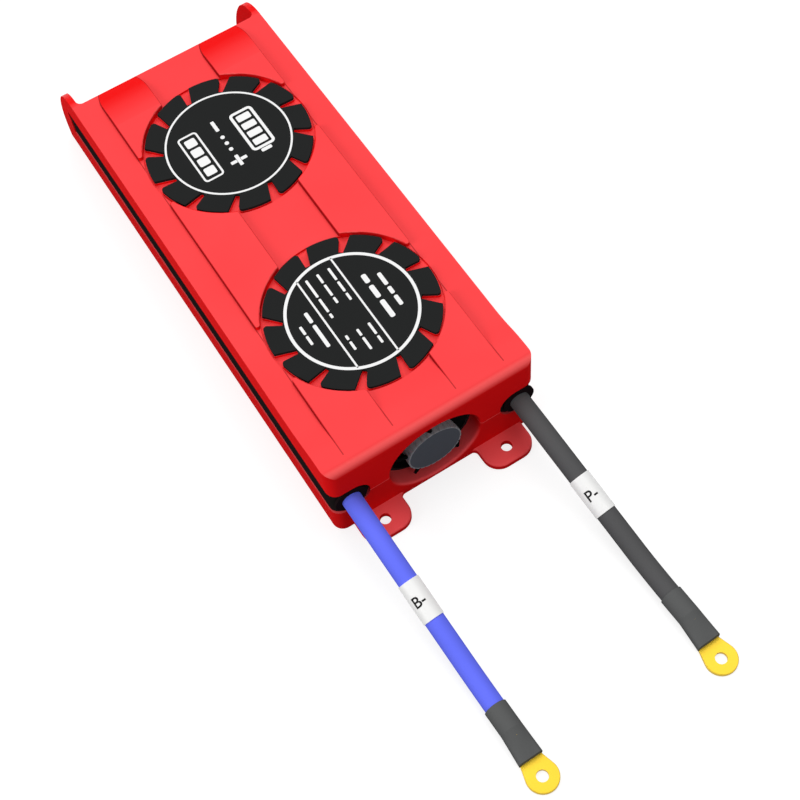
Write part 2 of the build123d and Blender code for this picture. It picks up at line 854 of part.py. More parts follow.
# Heat sink with fins along the air stream, on a thermal pad
pad_top = transistor_top + pad_thickness
pad_front_y = transistor_first_y - transistor_size[1] / 2
pad_rear_y = transistor_first_y + transistor_span + transistor_size[1] / 2
pad_half_width = transistor_row_x + transistor_size[0] / 2 + pad_margin
with BuildPart() as thermal_pad:
    box_between(-pad_half_width, pad_half_width, pad_front_y, pad_rear_y, transistor_top, pad_top)
finish(thermal_pad, "thermal_pad")

sink_top = roof_underside - sink_roof_gap
fin_height = sink_top - pad_top
with BuildPart() as heat_sink:
    with BuildSketch(Plane.XZ.offset(-sink_rear_y)):
        with Locations((0, pad_top + sink_base / 2)):
            Rectangle(2 * sink_half_width, sink_base)
        with Locations((0, pad_top + fin_height / 2)):
            with GridLocations((2 * sink_half_width - fin_thickness) / (fin_count - 1), 1, fin_count, 1):
                Rectangle(fin_thickness, fin_height)
    extrude(amount=sink_rear_y - sink_front_y)
    for x, y in sink_screw_places:
        post(x, y, pad_top, pad_top + sink_base, sink_screw_radius, Mode.SUBTRACT)
finish(heat_sink, "heat_sink")


def screw(x, y, head_z, head_radius, head_height, shank_radius, shank_length, up):
    """Pan head screw whose shank points up or down from the seat of its head."""
    post(x, y, min(head_z, head_z - up * head_height), max(head_z, head_z - up * head_height), head_radius)
    post(x, y, min(head_z, head_z + up * shank_length), max(head_z, head_z + up * shank_length), shank_radius)
    outer_z = head_z - up * head_height
    recess_z = (outer_z, outer_z + up * recess_depth)
    for long_x, long_y in ((recess_length, recess_width), (recess_width, recess_length)):
        box_between(
            x - long_x / 2, x + long_x / 2, y - long_y / 2, y + long_y / 2,
            min(recess_z), max(recess_z), Mode.SUBTRACT,
        )


with BuildPart() as cover_screws:
    for x, y in boss_places:
        screw(
            x, y, cover_head_depth, cover_head_radius, cover_head_height,
            cover_screw_radius, cover_screw_length, 1,
        )
finish(cover_screws, "cover_screws")

with BuildPart() as board_screws:
    for x, y in post_places:
        screw(
            x, y, board_top, board_head_radius, board_head_height,
            board_screw_radius, board_screw_length, -1,
        )
finish(board_screws, "board_screws")

with BuildPart() as sink_screws:
    for x, y in sink_screw_places:
        screw(
            x, y, board_bottom, sink_head_radius, sink_head_height,
            sink_screw_radius, pad_top + sink_base - board_bottom, 1,
        )
finish(sink_screws, "sink_screws")

# Sockets at the far end, and their pins
for socket_name, (socket_x, pin_count) in sockets.items():
    half = socket_half_width(pin_count)
    with BuildPart() as socket:
        box_between(
            socket_x - half, socket_x + half, plate_end_y - socket_depth, plate_end_y,
            board_top, board_top + socket_height,
        )
        box_between(
            socket_x - half + socket_wall, socket_x + half - socket_wall,
            plate_end_y - socket_cavity_depth, plate_end_y,
            board_top + socket_wall, board_top + socket_height - socket_wall, Mode.SUBTRACT,
        )
        for pin_x in pin_places(socket_x, pin_count):
            box_between(
                pin_x - pin_width / 2, pin_x + pin_width / 2,
                plate_end_y - socket_depth, plate_end_y - socket_cavity_depth,
                pin_height - pin_width / 2, pin_height + pin_width / 2, Mode.SUBTRACT,
            )
        for side in (-1, 1):
            box_between(
                socket_x + side * (half - socket_key_inset) - socket_key_width / 2,
                socket_x + side * (half - socket_key_inset) + socket_key_width / 2,
                plate_end_y - socket_cavity_depth / 2, plate_end_y,
                board_top + socket_height - socket_wall, board_top + socket_height, Mode.SUBTRACT,
            )
    finish(socket, socket_name)

with BuildPart() as socket_pins:
    for socket_x, pin_count in sockets.values():
        for pin_x in pin_places(socket_x, pin_count):
            tail_y = plate_end_y - socket_depth - pin_tail
            box_between(
                pin_x - pin_width / 2, pin_x + pin_width / 2,
                tail_y, plate_end_y - socket_cavity_depth + pin_reach,
                pin_height - pin_width / 2, pin_height + pin_width / 2,
            )
            box_between(
                pin_x - pin_width / 2, pin_x + pin_width / 2,
                tail_y, tail_y + pin_width,
                board_top, pin_height,
            )
finish(socket_pins, "socket_pins")

# Power cables, with what is on them

def corner_radii(points):
    """Arc radius at each inner point of a route: as large as its two runs allow."""
    radii = []
    for before, here, after in zip(points, points[1:], points[2:]):
        run_in = Vector(here) - Vector(before)
        run_out = Vector(after) - Vector(here)
        half_turn = math.radians(run_in.get_angle(run_out) / 2)
        radii.append(arc_share * min(run_in.length, run_out.length) / math.tan(half_turn))
    return radii


def tube(points, radius):
    """Round tube along straight runs joined by tangent arcs."""
    radii = corner_radii(points)
    with BuildPart() as piece:
        with BuildLine() as route:
            FilletPolyline(*points, radius=radii)
        with BuildSketch(Plane(origin=points[0], z_dir=Vector(points[1]) - Vector(points[0]))) as section:
            Circle(radius)
        sweep(section.sketch, path=route.line)
    length = sum(edge.length for edge in route.edges())
    print("arc radii", [round(value, 1) for value in radii], "length", round(length, 1))
    print("volume over section times length", round(piece.part.volume / (math.pi * radius**2 * length), 4))
    return piece


for cable_name, route_points in cable_routes.items():
    cable = tube(route_points, cable_radius)
    finish(cable, f"{cable_name}_cable")

    start = Vector(route_points[0])
    with BuildPart() as terminal:
        box_between(
            start.X - terminal_width / 2, start.X + terminal_width / 2,
            start.Y, start.Y + terminal_length, board_top, terminal_top,
        )
        upright = terminal.edges().filter_by(Axis.Z)
        fillet(upright, radius=terminal_edge_radius)
    finish(terminal, f"{cable_name}_terminal")

    with BuildPart() as grommet:
        grommet_front_y = front_y + frame_face_recess
        with BuildSketch(Plane(origin=(start.X, grommet_front_y, start.Z), z_dir=(0, -1, 0))):
            Circle(grommet_radius)
        extrude(amount=-grommet_length)
        with BuildSketch(Plane(origin=(start.X, grommet_front_y, start.Z), z_dir=(0, -1, 0))):
            Circle(grommet_flange_radius)
        extrude(amount=grommet_flange_length)
        with BuildSketch(Plane(origin=(start.X, start.Y, start.Z), z_dir=(0, -1, 0))):
            Circle(cable_radius)
        extrude(amount=terminal_length, mode=Mode.SUBTRACT)
    finish(grommet, f"{cable_name}_grommet")

    sleeve_from = Vector(route_points[2])
    sleeve_to = Vector(route_points[3])
    sleeve_way = (sleeve_to - sleeve_from).normalized()
    sleeve_start = (sleeve_from + sleeve_to) * 0.5 - sleeve_way * (sleeve_length / 2)
    with BuildPart() as sleeve:
        with BuildSketch(Plane(origin=sleeve_start, z_dir=sleeve_way)):
            Circle(cable_radius + sleeve_wall)
            Circle(cable_radius, mode=Mode.SUBTRACT)
        extrude(amount=sleeve_length)
    finish(sleeve, f"{cable_name}_sleeve")

    cable_end = Vector(route_points[-1])
    way = (cable_end - Vector(route_points[-2])).normalized()
    across = Vector(0, 0, 1).cross(way)

    def section_plane(distance, height):
        """Plane across the lug at a distance past the cable's end, at a height."""
        place = cable_end + way * distance
        return Plane(origin=(place.X, place.Y, height), x_dir=across, z_dir=way)

    palm_middle = lug_floor_gap + lug_thickness / 2
    reach = lug_hole_distance - lug_palm_start
    ring = cable_end + way * lug_hole_distance
    with BuildPart() as palm:
        with BuildSketch(Plane(origin=(ring.X, ring.Y, lug_floor_gap), x_dir=way, z_dir=(0, 0, 1))):
            with BuildLine():
                lean_angle = math.degrees(math.atan2(lug_ring_radius - lug_neck_half_width, reach))
                top = PolarLine((0, 0), lug_ring_radius, 90 + lean_angle, mode=Mode.PRIVATE) @ 1
                ThreePointArc(top, (lug_ring_radius, 0), (top.X, -top.Y))
                Polyline(
                    (top.X, -top.Y),
                    (-reach, -lug_neck_half_width),
                    (-reach, lug_neck_half_width),
                    top,
                )
            make_face()
            Circle(lug_hole_radius, mode=Mode.SUBTRACT)
        extrude(amount=lug_thickness)
        rim = [
            edge
            for edge in palm.faces().sort_by(Axis.Z)[-1].outer_wire().edges()
            if (edge.center() - ring).dot(way) > lug_edge_radius - reach
        ]
        fillet(rim, radius=lug_edge_radius)

    with BuildPart() as lug:
        with BuildSketch(section_plane(0, cable_end.Z)):
            Circle(lug_barrel_radius)
        extrude(amount=lug_barrel_length)
        with BuildSketch(section_plane(lug_barrel_length, cable_end.Z)):
            Circle(lug_barrel_radius)
        with BuildSketch(section_plane(lug_palm_start, palm_middle)):
            Rectangle(2 * lug_neck_half_width, lug_thickness)
        loft()
        add(palm.part)
    finish(lug, f"{cable_name}_lug")

    shrink_radius = cable_radius + shrink_wall
    with BuildPart() as shrink:
        with BuildSketch(section_plane(-shrink_on_cable, cable_end.Z)):
            Circle(shrink_radius)
        extrude(amount=shrink_on_cable + shrink_round_past)
        with BuildSketch(section_plane(shrink_round_past, cable_end.Z)):
            Circle(shrink_radius)
        flat_middle = lug_floor_gap + shrink_flat_height / 2
        with BuildSketch(section_plane(shrink_length - shrink_on_cable, flat_middle)):
            RectangleRounded(shrink_flat_width, shrink_flat_height, shrink_flat_radius)
        loft()
        add(lug.part, mode=Mode.SUBTRACT)
        with BuildSketch(section_plane(-shrink_on_cable, cable_end.Z)):
            Circle(cable_radius)
        extrude(amount=shrink_on_cable, mode=Mode.SUBTRACT)
    finish(shrink, f"{cable_name}_shrink")

# Fan lead and its plug on the board
with BuildPart() as fan_plug:
    with Locations((fan_plug_x, plug_y, board_top + fan_plug_size[2] / 2)):
        Box(*fan_plug_size)
finish(fan_plug, "fan_plug")

fan_lead = tube(
    [
        (fan_plug_x, fan_back_y, plug_top + lead_drop),
        (fan_plug_x, fan_back_y + lead_run, plug_top + lead_drop),
        (fan_plug_x, plug_y, plug_top + lead_run),
        (fan_plug_x, plug_y, plug_top),
    ],
    lead_radius,
)
finish(fan_lead, "fan_lead")
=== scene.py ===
# %% [markdown]
# # A fan-cooled battery management board
#
# The real object is a small red box that guards a battery pack. Its circuit board and heat
# sink sit inside two moulded shells, a fan at one end blows along them, and two thick
# silicone cables with ring lugs join it to the battery and to the load.
#
# The hard parts come from a CAD model. This script gives them their surfaces, makes the
# soft cables, and adds the printing that CAD leaves out.

# %% Load the fixed frame
import bpy
import json
import math
from mathutils import Matrix, Vector


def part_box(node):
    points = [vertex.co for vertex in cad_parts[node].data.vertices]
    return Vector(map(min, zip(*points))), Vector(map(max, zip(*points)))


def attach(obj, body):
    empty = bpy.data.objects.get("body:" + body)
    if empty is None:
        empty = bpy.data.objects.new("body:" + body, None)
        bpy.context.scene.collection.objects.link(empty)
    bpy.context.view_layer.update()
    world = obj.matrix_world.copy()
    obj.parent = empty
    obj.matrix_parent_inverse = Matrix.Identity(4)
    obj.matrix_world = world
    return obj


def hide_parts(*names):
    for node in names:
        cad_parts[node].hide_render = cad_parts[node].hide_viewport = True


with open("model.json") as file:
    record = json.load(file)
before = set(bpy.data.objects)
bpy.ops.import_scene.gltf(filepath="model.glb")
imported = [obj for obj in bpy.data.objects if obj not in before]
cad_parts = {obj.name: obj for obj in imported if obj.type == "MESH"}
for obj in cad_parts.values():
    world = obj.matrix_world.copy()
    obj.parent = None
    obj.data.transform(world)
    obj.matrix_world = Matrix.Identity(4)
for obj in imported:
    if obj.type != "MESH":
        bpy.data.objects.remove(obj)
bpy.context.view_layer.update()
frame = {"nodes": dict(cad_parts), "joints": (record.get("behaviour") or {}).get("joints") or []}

nodes = frame["nodes"]
mm = 0.001

# %% [markdown]
# ## Camera
#
# The photograph looks steeply down on the fan end, from the left, with a slight roll. The
# straight edges of the housing fix that view exactly: the place, the direction that the
# lens points in and the direction that is up in the picture. A camera looks along its own
# -Z, so the three directions become the columns of its matrix.

# %% Camera at the photograph's angle
camera_place = Vector((-0.0872, -0.2430, 0.3878))
camera_forward = Vector((0.20474, 0.43770, -0.87550)).normalized()
camera_up = Vector((0.49342, 0.72634, 0.47851))
camera_right = camera_forward.cross(camera_up).normalized()
camera_up = camera_right.cross(camera_forward)

camera_data = bpy.data.cameras.new("camera")
camera_data.sensor_width = 36.0
camera_data.lens = 69.41
camera_data.clip_start = 0.01
camera = bpy.data.objects.new("camera", camera_data)
turn = Matrix((camera_right, camera_up, -camera_forward)).transposed()
camera.matrix_world = Matrix.Translation(camera_place) @ turn.to_4x4()
bpy.context.scene.collection.objects.link(camera)
bpy.context.scene.camera = camera
print("camera", [round(v, 4) for v in camera_place], "lens", camera_data.lens)

# %% [markdown]
# ## The two power cables
#
# Each cable is a stranded copper conductor in a soft silicone sheath, 5.8 mm thick. It
# leaves the front wall level, sinks to the table under its own weight, and ends in a lug.
# A curve with a round bevel is the natural way to make it: the curve is the wire's
# centreline, and its control points are the points of the route. A NURBS curve of order 3
# turns them into one smooth bend.

# %% Cables as smooth curves
cable_radius = 2.9 * mm
cable_routes = {
    "battery": [
        (-26.8, -68.3, 15.25),
        (-26.8, -82.0, 15.25),
        (-26.45, -95.6, 13.1),
        (-25.25, -119.5, 6.2),
        (-24.75, -133.0, 3.3),
        (-24.5, -146.8, 3.3),
    ],
    "pack": [
        (27.1, -68.3, 15.25),
        (27.1, -82.0, 15.25),
        (27.7, -95.6, 13.1),
        (29.7, -119.5, 6.2),
        (30.5, -133.0, 3.3),
        (31.1, -146.8, 3.3),
    ],
}


def smooth_curve(name, points, radius):
    """A NURBS curve through a route, with a round section."""
    data = bpy.data.curves.new(name, "CURVE")
    data.dimensions = "3D"
    data.bevel_depth = radius
    data.bevel_resolution = 8
    data.use_fill_caps = True
    data.resolution_u = 24
    spline = data.splines.new("NURBS")
    spline.points.add(len(points) - 1)
    for control, place in zip(spline.points, points):
        control.co = (*[v * mm for v in place], 1.0)
    spline.order_u = 3
    spline.use_endpoint_u = True
    piece = bpy.data.objects.new(name, data)
    bpy.context.scene.collection.objects.link(piece)
    return piece


cables = {}
for cable_name, route in cable_routes.items():
    cables[cable_name] = smooth_curve(f"{cable_name}_cable_sheath", route, cable_radius)
print("cables", sorted(cables))

# %% [markdown]
# A cord's length lies along its smooth line and not along the straight runs between its
# control points. The same curve without its bevel, turned into a mesh, is that line, and
# its points are read for each cable.

# %% Smooth line of each cable
def centreline(points):
    """Points along the smooth line of a route, read from a curve with no thickness."""
    line = smooth_curve("centreline", points, 0.0)
    line.data.use_fill_caps = False
    bpy.context.view_layer.update()
    mesh = bpy.data.meshes.new_from_object(line)
    places = [vertex.co.copy() for vertex in mesh.vertices]
    bpy.data.meshes.remove(mesh)
    bpy.data.objects.remove(line)
    return places


for cable_name, route in cable_routes.items():
    line = centreline(route)

# %% [markdown]
# ## Materials
#
# A material is a small network of nodes, and most steps in it are one of four: set a value
# or link it, do a sum, stretch a range, or mix two values. A helper for each keeps the
# recipes below short. Colours are written as they are seen, and the shader works in linear
# light, so one more helper turns the first into the second.

# %% Helpers for nodes and colours
def linear(red, green, blue):
    """A colour given as it is seen, from 0 to 255, turned into the shader's own units."""
    out = []
    for value in (red, green, blue):
        part = value / 255
        out.append(part / 12.92 if part <= 0.04045 else ((part + 0.055) / 1.055) ** 2.4)
    return (*out, 1.0)


def feed(tree, value, socket):
    """Link a socket to another node's output, or set it to a plain value."""
    if isinstance(value, bpy.types.NodeSocket):
        tree.links.new(value, socket)
    else:
        socket.default_value = value


def calculate(tree, operation, first, second=0.0):
    """Result of a sum on two values, each a number or another node's output."""
    node = tree.nodes.new("ShaderNodeMath")
    node.operation = operation
    feed(tree, first, node.inputs[0])
    feed(tree, second, node.inputs[1])
    return node.outputs["Value"]


def stretch(tree, value, start, end, low=0.0, high=1.0):
    """Value that goes from low to high as another one goes from start to end."""
    node = tree.nodes.new("ShaderNodeMapRange")
    node.inputs["From Min"].default_value = start
    node.inputs["From Max"].default_value = end
    node.inputs["To Min"].default_value = low
    node.inputs["To Max"].default_value = high
    tree.links.new(value, node.inputs["Value"])
    return node.outputs["Result"]


def mix(tree, kind, factor, under, over):
    """Mix of two numbers, for the kind FLOAT, or of two colours, for the kind RGBA."""
    node = tree.nodes.new("ShaderNodeMix")
    node.data_type = kind
    feed(tree, factor, node.inputs["Factor"])
    feed(tree, under, node.inputs["A"])
    feed(tree, over, node.inputs["B"])
    return node.outputs["Result"]


print("a seen grey of 128 is", round(linear(128, 128, 128)[0], 3), "in linear light")

# %% [markdown]
# Moulded plastic is never one flat colour. It has a fine grain from the mould, a roughness
# that changes slowly over the surface, and a very slight drift in colour. One recipe makes
# all three from noise on object coordinates, so that the grain stays in place when the view
# or the pose changes. The values that are the same all over are set on the shader itself.

# %% Recipe for plastics, rubber and metal
drift_detail = 3.0
grain_detail = 2.0
grain_strength = 0.6
noise_low, noise_high = 0.3, 0.7


def noise(tree, size, detail):
    """Soft noise on object coordinates, with blots of about a size in mm."""
    node = tree.nodes.new("ShaderNodeTexNoise")
    node.inputs["Scale"].default_value = 1.0 / (size * mm)
    node.inputs["Detail"].default_value = detail
    tree.links.new(tree.nodes["Texture Coordinate"].outputs["Object"], node.inputs["Vector"])
    return node.outputs["Fac"]


def surface(
    name, colour, other, roughness,
    spread=0.06, grain=0.5, depth=0.02, drift=25.0, **sockets,
):
    """Material with a colour that drifts between two shades, uneven gloss and a fine grain.

    grain is the size of the grain in mm, depth its height in mm, drift the size in mm of
    the slow changes in colour and gloss.
    """
    material = bpy.data.materials.new(name)
    material.use_nodes = True
    tree = material.node_tree
    tree.nodes.new("ShaderNodeTexCoord")
    shader = tree.nodes["Principled BSDF"]

    slow = noise(tree, drift, drift_detail)
    gloss = stretch(tree, slow, noise_low, noise_high, roughness - spread, roughness + spread)
    feed(tree, mix(tree, "RGBA", slow, colour, other), shader.inputs["Base Color"])
    feed(tree, gloss, shader.inputs["Roughness"])

    bump = tree.nodes.new("ShaderNodeBump")
    bump.inputs["Strength"].default_value = grain_strength
    bump.inputs["Distance"].default_value = depth * mm
    tree.links.new(noise(tree, grain, grain_detail), bump.inputs["Height"])
    tree.links.new(bump.outputs["Normal"], shader.inputs["Normal"])

    for socket, value in sockets.items():
        shader.inputs[socket.replace("_", " ")].default_value = value
    return material


def dress(material, slot_name, *pieces):
    """Give a material to pieces; slot_name is not used."""
    for piece in pieces:
        piece.data.materials.clear()
        piece.data.materials.append(material)


dead_matte = 0.0
matte = 0.12
print("specular levels", dead_matte, "and", matte)

# %% [markdown]
# ### The red shells
#
# Both shells are moulded in the same red plastic. The mould is polished on the faces that
# look up and eroded to a coarse matte skin on the upright walls. So the roof has a soft
# sheen, and its red is painted a little paler as a painted sheen, while the walls are matte
# and painted a deeper red as painted shade. The direction that a face looks in, read from
# its own normal, chooses between the two finishes.

# %% A mould with two finishes, with painted sheen and painted shade
wall_below = 0.15
roof_above = 0.65
wall_roughness = 1.0


def part_of(tree, coordinate, axis):
    """One part of a texture coordinate, such as the Z of Normal or the X of Object."""
    split = tree.nodes.new("ShaderNodeSeparateXYZ")
    texture_place = tree.nodes["Texture Coordinate"]
    tree.links.new(texture_place.outputs[coordinate], split.inputs["Vector"])
    return split.outputs[axis]


def overlay(material, factor, over, socket_name="Base Color", kind="RGBA"):
    """Lay a value over what feeds a socket of the shader, as far as a factor says."""
    tree = material.node_tree
    socket = tree.nodes["Principled BSDF"].inputs[socket_name]
    feed(tree, mix(tree, kind, factor, socket.links[0].from_socket, over), socket)


def matte_walls_painted_shade(material, painted_wall_shade):
    """Keep a material's own look on faces that look up; make its walls matte, with painted shade.
    """
    tree = material.node_tree
    upright = stretch(tree, part_of(tree, "Normal", "Z"), roof_above, wall_below)
    overlay(material, upright, wall_roughness, "Roughness", "FLOAT")
    overlay(material, upright, painted_wall_shade)


print("a wall's normal has a Z under", wall_below, "and a roof's over", roof_above)

# %% [markdown]
# Two more tints come from the way that a face leans, and both are painted light. At the
# socket end the bands slope down to the roof's edge, and the red there is painted deeper the
# steeper they get, as painted shade. The rounded edges that lean towards the fan end get a
# painted highlight, and show as paler lines.

# %% Painted shade for slopes and painted highlight for rounded edges
slope_lean = 0.16
edge_lean_start = -0.25
edge_lean_full = -0.5


def paint_light_by_lean(material, colour, lean_start, lean_full, behind=-1.0):
    """Paint light or shade onto a face as the Y of its normal goes from lean_start to lean_full.

    Only what lies behind a place on Y is tinted, which is everything if none is given.
    """
    tree = material.node_tree
    lean = stretch(tree, part_of(tree, "Normal", "Y"), lean_start, lean_full)
    there = calculate(tree, "GREATER_THAN", part_of(tree, "Object", "Y"), behind)
    overlay(material, calculate(tree, "MULTIPLY", lean, there), colour)


print("slopes are deepest from a lean of", slope_lean, "and edges palest from", edge_lean_full)

# %% [markdown]
# Two raised bands run along the roof on each side of its middle. The step at each edge of a
# band has a sharp inner corner, and painted shade lies there as a hair-thin dark line. At
# this scale a shader draws it better than the mesh: the line lies where the distance from
# the roof's middle is that of a band's edge, but not inside the two discs.
# The edges of a band draw together over its last few millimetres, and the line follows.

# %% Painted shade lines at the feet of the bands
band_inner_edge = 9.8 * mm
band_outer_edge = 24.9 * mm
band_rise = 1.6 * mm
band_front_end = -71.0 * mm
band_turn_start = 69.0 * mm
band_turn_length = 6.0 * mm
band_turn_inset = 1.3 * mm
foot_line = 0.24 * mm
foot_shade_strength = 0.9
roof_margin = 0.1 * mm
disc_recess_gap = 0.7 * mm


def distance(tree, side, other):
    """Length of a way whose two sides are at right angles."""
    squares = [calculate(tree, "MULTIPLY", part, part) for part in (side, other)]
    return calculate(tree, "SQRT", calculate(tree, "ADD", *squares))


def band_lines(tree, x, y):
    """1 on the edges of the bands, and 0 from a hair's breadth away."""
    from_middle = calculate(tree, "ABSOLUTE", x)
    past_turn = calculate(tree, "MAXIMUM", calculate(tree, "SUBTRACT", y, band_turn_start), 0.0)
    turned = calculate(tree, "POWER", calculate(tree, "DIVIDE", past_turn, band_turn_length), 2.0)
    line = 0.0
    for edge, inset in (
        (band_inner_edge, -band_turn_inset),
        (band_outer_edge, band_turn_inset),
    ):
        shift = calculate(tree, "MULTIPLY", turned, inset)
        past_edge = calculate(tree, "SUBTRACT", calculate(tree, "ADD", from_middle, shift), edge)
        away = calculate(tree, "DIVIDE", calculate(tree, "ABSOLUTE", past_edge), foot_line)
        line = calculate(tree, "MAXIMUM", line, calculate(tree, "SUBTRACT", 1.0, away))
    return line


def outside_discs(tree, x, y):
    """1 outside the recesses of the two discs, and 0 inside them."""
    outside = 1.0
    for label in ("rear_label", "front_label"):
        low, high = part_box(label)
        reach = (high[0] - low[0]) / 2 + disc_recess_gap
        from_disc = distance(tree, x, calculate(tree, "SUBTRACT", y, (low[1] + high[1]) / 2))
        beyond = calculate(tree, "GREATER_THAN", from_disc, reach)
        outside = calculate(tree, "MULTIPLY", outside, beyond)
    return outside


def paint_foot_shade(material, foot_shade_colour):
    """Paint shade as a dark line into the inner corner beside each raised band of the roof."""
    tree = material.node_tree
    x, y, z = (part_of(tree, "Object", axis) for axis in "XYZ")
    roof_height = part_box("top_cover")[1][2] - band_rise
    depth = foot_shade_strength
    for condition in (
        band_lines(tree, x, y),
        outside_discs(tree, x, y),
        calculate(tree, "GREATER_THAN", z, roof_height - roof_margin),
        calculate(tree, "GREATER_THAN", y, band_front_end),
    ):
        depth = calculate(tree, "MULTIPLY", condition, depth)
    overlay(material, depth, foot_shade_colour)


print("foot lines", round(2 * foot_line / mm, 2), "mm wide")

# %% [markdown]
# Now the recipes are put together. The order counts, because a tint that is laid on later
# covers the earlier ones: the walls' painted shade comes after the edges' painted highlight,
# and the painted shade lines are last.

# %% Red housing
shell_gloss = 0.08
cover_red = surface(
    "cover_red", linear(248, 66, 69), linear(244, 61, 64), 0.4,
    grain=0.35, depth=0.006, Specular_IOR_Level=shell_gloss,
)
base_red = surface(
    "base_red", linear(247, 82, 85), linear(242, 77, 80), 0.42,
    grain=0.35, depth=0.006, Specular_IOR_Level=shell_gloss,
)
# Painted shade: the rear slopes of the bands turn a deeper red as they lean back.
paint_light_by_lean(cover_red, linear(236, 6, 8), 0.0, slope_lean, behind=0.0)
# Painted highlight: paler lines on the rounded edges that lean towards the fan end.
paint_light_by_lean(cover_red, linear(255, 90, 90), edge_lean_start, edge_lean_full)
# Painted sheen and shade: the roof keeps the paler red, and the walls get a deeper red.
matte_walls_painted_shade(cover_red, linear(239, 10, 14))
matte_walls_painted_shade(base_red, linear(223, 12, 15))
# Painted shade: hair-thin dark lines in the inner corners beside the bands.
paint_foot_shade(cover_red, linear(140, 6, 9))
dress(cover_red, "cover_red", nodes["top_cover"])
dress(base_red, "base_red", nodes["base_shell"])
print("housing dressed, the cover with", len(cover_red.node_tree.nodes), "nodes")

# %% [markdown]
# ### Dark plastics
#
# The inner frame, the label plates and the fan are black plastics with different skins: the
# frame is plainly matte, the plates are finely grained, and the fan is a glass-filled
# plastic. Black is never zero: values from 16 to 40 of 255 leave room for the shadows.

# %% Dark plastics
frame_black = surface(
    "frame_black", linear(32, 28, 28), linear(36, 32, 32), 0.55,
    grain=0.3, Specular_IOR_Level=dead_matte,
)
label_black = surface(
    "label_black", linear(36, 37, 37), linear(39, 40, 40), 0.5,
    grain=0.2, depth=0.004, Specular_IOR_Level=dead_matte,
)
fan_black = surface(
    "fan_black", linear(16, 16, 17), linear(21, 21, 22), 0.5,
    grain=0.3, Specular_IOR_Level=matte,
)
dress(frame_black, "frame_black", nodes["inner_frame"])
dress(label_black, "label_black", nodes["rear_label"], nodes["front_label"])
dress(fan_black, "fan_black", nodes["fan_frame"])
print("dark plastics dressed")

# %% [markdown]
# ### The fan's rotor
#
# Hub and blades are one moulding, but the hub is a grey cup with a thin bright rim and the
# blades are black. The distance from the axis tells them apart, so the rim's and the blades'
# colours are laid over the grey from their own radius outwards. The pattern is round, so it
# stays right as the rotor turns.

# %% Rotor coloured by the distance from its axis
spin = next(joint for joint in frame["joints"] if joint["name"] == "fan_spin")
axis_height = spin["pos_m"][2]
hub_radius = 8.4 * mm
hub_rim = 0.4 * mm
hub_margin = 0.05 * mm

rotor_grey = surface(
    "rotor_grey", linear(86, 90, 98), linear(90, 94, 102), 0.45,
    grain=0.25, depth=0.006, Specular_IOR_Level=dead_matte,
)
tree = rotor_grey.node_tree
up = calculate(tree, "SUBTRACT", part_of(tree, "Object", "Z"), axis_height)
from_axis = distance(tree, part_of(tree, "Object", "X"), up)
for radius, colour in (
    (hub_radius - hub_rim, linear(150, 152, 156)),
    (hub_radius + hub_margin, linear(17, 17, 18)),
):
    overlay(rotor_grey, calculate(tree, "GREATER_THAN", from_axis, radius), colour)
dress(rotor_grey, "rotor_grey", nodes["fan_rotor"])
print("rotor dressed, axis at", round(axis_height / mm, 2), "mm")

# %% [markdown]
# ### What shows at the socket end
#
# The roof stops short of the cheeks, so the sockets, the board's edge and the heat sink's
# fins can be seen from behind. They get the finishes that such parts have: green solder
# mask, cream nylon sockets, brass pins and terminals, bare aluminium fins.

# %% Parts on the circuit board
board_green = surface(
    "board_green", linear(20, 92, 52), linear(26, 104, 60), 0.35,
    grain=1.5, depth=0.01,
)
chip_black = surface(
    "chip_black", linear(30, 30, 32), linear(38, 38, 40), 0.55,
    grain=0.2,
)
capacitor_sleeve = surface(
    "capacitor_sleeve", linear(34, 40, 70), linear(30, 34, 60), 0.3,
    grain=0.4,
)
pad_grey = surface(
    "pad_grey", linear(168, 170, 176), linear(158, 160, 166), 0.7,
    grain=0.3,
)
socket_white = surface(
    "socket_white", linear(232, 228, 212), linear(224, 220, 204), 0.42,
    grain=0.3,
)
grommet_rubber = surface(
    "grommet_rubber", linear(34, 24, 26), linear(30, 22, 24), 0.6,
    grain=0.3, Specular_IOR_Level=dead_matte,
)
dress(board_green, "board_green", nodes["main_board"])
dress(chip_black, "chip_black", nodes["power_transistors"], nodes["control_chip"])
dress(capacitor_sleeve, "capacitor_sleeve", nodes["capacitors"])
dress(pad_grey, "pad_grey", nodes["thermal_pad"])
dress(
    socket_white, "socket_white",
    nodes["sense_socket"], nodes["data_socket"], nodes["probe_socket"], nodes["fan_plug"],
)
dress(grommet_rubber, "grommet_rubber", nodes["battery_grommet"], nodes["pack_grommet"])
print("board parts dressed")

# %% [markdown]
# Bare metal reflects its surroundings in its own colour, so its metallic value is 1. The
# lugs are the exception. Their thin plating has gone dull and yellow, and shows more of its
# own colour than of what is around it, so theirs is low.

# %% Metals
sink_aluminium = surface(
    "sink_aluminium", linear(200, 202, 205), linear(188, 190, 194), 0.35,
    grain=0.15, Metallic=1.0,
)
bare_steel = surface(
    "bare_steel", linear(190, 190, 194), linear(176, 176, 180), 0.3,
    grain=0.2, Metallic=1.0,
)
gold_brass = surface(
    "gold_brass", linear(214, 178, 104), linear(204, 166, 92), 0.3,
    grain=0.2, Metallic=1.0,
)
copper_winding = surface(
    "copper_winding", linear(190, 110, 62), linear(170, 94, 50), 0.35,
    grain=0.4, Metallic=1.0,
)
lug_brass = surface(
    "lug_brass", linear(234, 198, 56), linear(230, 193, 52), 0.45,
    grain=0.25, depth=0.006, Metallic=0.3, Specular_IOR_Level=matte,
)
dress(sink_aluminium, "sink_aluminium", nodes["heat_sink"])
dress(
    bare_steel, "bare_steel",
    nodes["cover_screws"], nodes["board_screws"], nodes["sink_screws"],
    nodes["shunt_resistors"],
)
